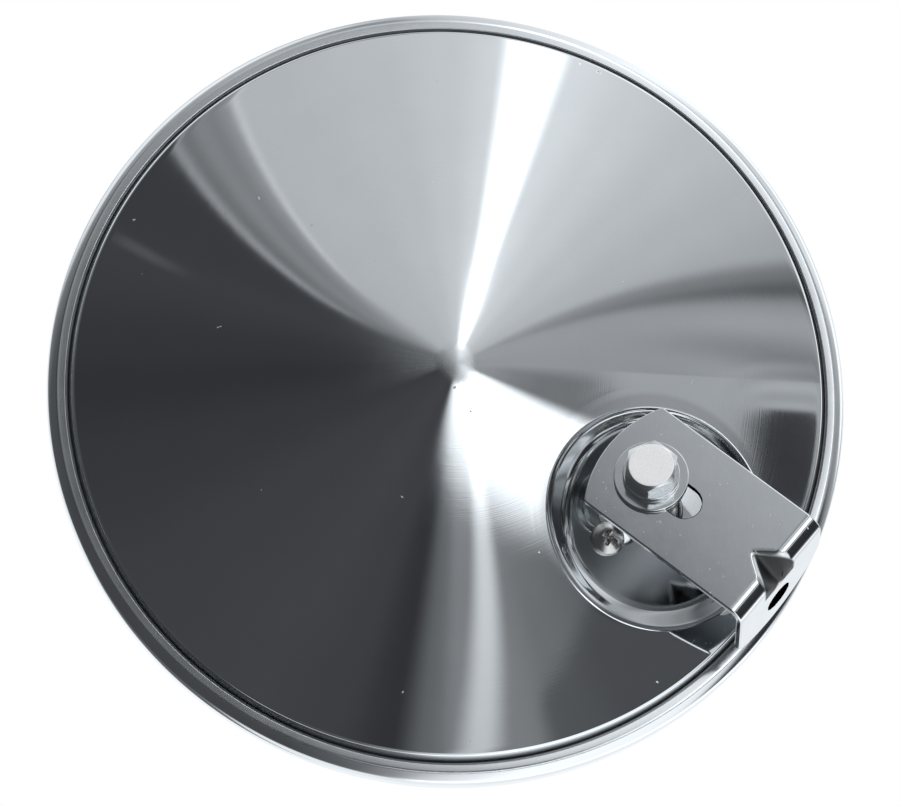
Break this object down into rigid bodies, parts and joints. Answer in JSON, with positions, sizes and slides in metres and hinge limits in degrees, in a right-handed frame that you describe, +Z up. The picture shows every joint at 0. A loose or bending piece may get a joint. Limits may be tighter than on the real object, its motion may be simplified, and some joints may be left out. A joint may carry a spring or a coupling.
{
  "type": "convex mirror head",
  "caption": "Round convex mirror with a conical spun steel back, a rolled bezel, an offset ball socket and a slotted angle bracket held by a bolt.",
  "frame": {"origin": "centre of the mounting hole in the bracket's leg, halfway through its thickness", "axes": "+Z up with the mirror plane upright, +Y the way the glass faces, +X to the right seen from behind"},
  "size_m": [0.216, 0.0588, 0.216],
  "materials": {
    "spun_steel": "spun and polished stainless steel with fine concentric marks",
    "bezel_steel": "rolled and polished stainless steel",
    "mirror_glass": "clear glass, smooth",
    "mirror_coat": "silvered, seen through the glass",
    "rubber": "matt black",
    "fibreboard": "plain hardboard",
    "foam": "closed-cell foam",
    "plain_steel": "plain pressed steel",
    "nylon": "natural nylon",
    "screw_steel": "stainless steel fastener",
    "stud_steel": "turned steel",
    "zinc_plate": "bright zinc plate with a fine grain",
    "polished_plate": "polished stainless plate with fine scratches"
  },
  "bodies": {
    "bracket": {"angle_bracket": "polished_plate"},
    "slider": {"flat_washer": "zinc_plate", "under_washer": "zinc_plate"},
    "spring_washer": {"lock_washer": "zinc_plate"},
    "clamp_bolt": {"hex_bolt": "zinc_plate"},
    "stud": {"ball_stud": "stud_steel"},
    "seat": {"ball_seat": "nylon"},
    "head": {"housing_shell": "spun_steel", "bezel_ring": "bezel_steel", "mirror_glass": "mirror_glass", "reflective_coating": "mirror_coat", "edge_gasket": "rubber", "backing_board": "fibreboard", "foam_ring": "foam", "socket_doubler": "plain_steel", "retainer_plate": "plain_steel", "clamp_screws": "screw_steel", "screw_spring_washers": "plain_steel", "clamp_nuts": "screw_steel"}
  },
  "joints": [
    {"name": "slot_slide", "type": "slide", "parent": "bracket", "child": "slider", "axis": [0.7388, -0.1883, -0.6471], "range_m": [0, 0.011]},
    {"name": "bolt_lift", "type": "slide", "parent": "slider", "child": "spring_washer", "axis": [-0.1302, -0.982, 0.1372], "range_m": [0, 0.0035]},
    {"name": "bolt_turn", "type": "hinge", "parent": "spring_washer", "child": "clamp_bolt", "pos_m": [-0.03283, -0.00909, 0.02915], "axis": [-0.1302, -0.982, 0.1372], "range_deg": [0, 720]},
    {"name": "bracket_swivel", "type": "hinge", "parent": "slider", "child": "stud", "pos_m": [-0.03283, -0.00909, 0.02915], "axis": [-0.1302, -0.982, 0.1372], "range_deg": [-30, 30]},
    {"name": "head_tip", "type": "hinge", "parent": "stud", "child": "seat", "pos_m": [-0.0297, 0.01447, 0.02586], "axis": [0.6612, 0.0171, 0.75], "range_deg": [-3, 5.5]},
    {"name": "head_rock", "type": "hinge", "parent": "seat", "child": "head", "pos_m": [-0.0297, 0.01447, 0.02586], "axis": [0.7388, -0.1883, -0.6471], "range_deg": [-8, 8]}
  ],
  "couplings": [
    {"joint": "bolt_lift", "follows": "bolt_turn", "m_per_rad": 0.00022457}
  ]
}
